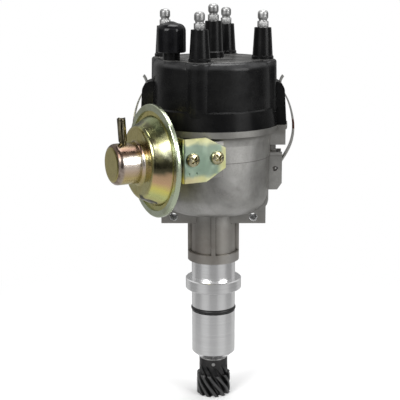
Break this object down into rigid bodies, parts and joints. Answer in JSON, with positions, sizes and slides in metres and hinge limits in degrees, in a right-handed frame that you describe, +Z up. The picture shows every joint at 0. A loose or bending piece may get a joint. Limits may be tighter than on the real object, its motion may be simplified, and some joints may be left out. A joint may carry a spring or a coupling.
{
  "type": "ignition distributor",
  "caption": "Engine ignition distributor with a moulded cap, spring clips, vacuum advance unit, sealed shank and helical drive gear.",
  "frame": {"origin": "on the shaft's axis, at the underside of the collar that seats on the engine block", "axes": "+Z up along the shaft towards the cap's terminals, -Z down the shank to the gear; X through the two spring clips and the two ear holes; -Y is the side with the vacuum unit"},
  "size_m": [0.1107, 0.1103, 0.2452],
  "materials": {
    "cast_aluminium": "die-cast, satin",
    "cap_moulding": "moulded phenolic, satin",
    "rotor_moulding": "moulded, satin",
    "terminal_metal": "turned, knurled foot",
    "hood_rubber": "smooth, glossy",
    "ring_rubber": "smooth",
    "clip_steel": "rolled strip",
    "pin_steel": "drawn",
    "can_zinc": "yellow zinc, iridescent",
    "can_back_zinc": "yellow zinc, iridescent",
    "nipple_metal": "darkened zinc",
    "bracket_zinc": "yellow zinc, iridescent",
    "screw_zinc": "yellow zinc",
    "gear_steel": "hardened, oiled black",
    "shaft_steel": "ground",
    "bush_bronze": "sintered bronze",
    "inner_steel": "machined",
    "weight_steel": "sintered",
    "plate_zinc": "pale zinc",
    "spring_steel": "drawn wire",
    "coil_winding": "lacquered wire on a bobbin",
    "diaphragm_rubber": "reinforced rubber",
    "blade_brass": "rolled",
    "brush_carbon": "carbon"
  },
  "bodies": {
    "base": {"housing": "cast_aluminium", "o_ring": "ring_rubber", "bush_lower": "bush_bronze", "bush_upper": "bush_bronze", "fixed_plate": "plate_zinc", "plate_screws": "inner_steel", "plate_ring": "inner_steel", "front_shell": "can_zinc", "rear_shell": "can_back_zinc", "nipple": "nipple_metal", "bracket": "bracket_zinc", "bracket_screws": "screw_zinc", "diaphragm": "diaphragm_rubber", "vacuum_spring": "spring_steel", "cap": "cap_moulding", "terminal_1": "terminal_metal", "terminal_2": "terminal_metal", "terminal_3": "terminal_metal", "terminal_4": "terminal_metal", "coil_terminal": "terminal_metal", "brush_spring": "spring_steel", "vent_hood": "hood_rubber", "clip_pin_left": "pin_steel", "clip_pin_right": "pin_steel"},
    "shaft": {"shaft": "shaft_steel", "thrust_washer": "shaft_steel", "drive_gear": "gear_steel", "gear_pin": "pin_steel", "governor_plate": "inner_steel", "weight_posts": "pin_steel", "sleeve_washer": "inner_steel", "sleeve_screw": "inner_steel", "governor_spring_1": "spring_steel", "governor_spring_2": "spring_steel"},
    "advance": {"advance_sleeve": "inner_steel", "advance_yoke": "inner_steel", "reluctor": "inner_steel", "rotor_arm": "rotor_moulding", "rotor_blade": "blade_brass"},
    "weight_1": {"weight_1": "weight_steel"},
    "weight_2": {"weight_2": "weight_steel"},
    "rod": {"link_rod": "inner_steel", "piston_front": "plate_zinc", "piston_rear": "plate_zinc"},
    "pickup": {"pickup_plate": "plate_zinc", "rod_pin": "pin_steel", "rod_clip": "pin_steel", "pickup_iron": "inner_steel", "pickup_coil": "coil_winding", "pickup_screws": "inner_steel"},
    "brush": {"carbon_brush": "brush_carbon"},
    "clip_left": {"clip_left": "clip_steel"},
    "clip_right": {"clip_right": "clip_steel"}
  },
  "joints": [
    {"name": "shaft_spin", "type": "hinge", "parent": "base", "child": "shaft", "pos_m": [0, 0, 0], "axis": [0, 0, 1], "continuous": true},
    {"name": "advance_turn", "type": "hinge", "parent": "shaft", "child": "advance", "pos_m": [0, 0, 0], "axis": [0, 0, 1], "range_deg": [0, 12], "stiffness_Nm_per_rad": 0.4, "springref_deg": -2.86, "deforming": ["governor_spring_1", "governor_spring_2"]},
    {"name": "weight_1_swing", "type": "hinge", "parent": "shaft", "child": "weight_1", "pos_m": [0.017, 0, 0.0632], "axis": [0, 0, 1], "range_deg": [-13.2, 0]},
    {"name": "weight_2_swing", "type": "hinge", "parent": "shaft", "child": "weight_2", "pos_m": [-0.017, 0, 0.0632], "axis": [0, 0, 1], "range_deg": [-13.2, 0]},
    {"name": "rod_pull", "type": "slide", "parent": "base", "child": "rod", "axis": [-0.8801, -0.4749, 0], "range_m": [0, 0.00359], "stiffness_N_per_m": 2500, "springref_m": -0.002, "deforming": ["vacuum_spring", "diaphragm"]},
    {"name": "pickup_swing", "type": "hinge", "parent": "base", "child": "pickup", "pos_m": [0, 0, 0.0854], "axis": [0, 0, -1], "range_deg": [0, 10]},
    {"name": "brush_press", "type": "slide", "parent": "base", "child": "brush", "axis": [0, 0, 1], "range_m": [0, 0.002], "stiffness_N_per_m": 150, "springref_m": -0.003, "deforming": ["brush_spring"]},
    {"name": "clip_left_swing", "type": "hinge", "parent": "base", "child": "clip_left", "pos_m": [-0.0374, 0, 0.077], "axis": [0, -1, 0], "range_deg": [0, 80]},
    {"name": "clip_right_swing", "type": "hinge", "parent": "base", "child": "clip_right", "pos_m": [0.0374, 0, 0.077], "axis": [0, 1, 0], "range_deg": [0, 80]}
  ],
  "couplings": [
    {"joint": "weight_1_swing", "follows": "advance_turn", "ratio": -1.0988},
    {"joint": "weight_2_swing", "follows": "advance_turn", "ratio": -1.0988},
    {"joint": "pickup_swing", "follows": "rod_pull", "rad_per_m": 48.584}
  ]
}
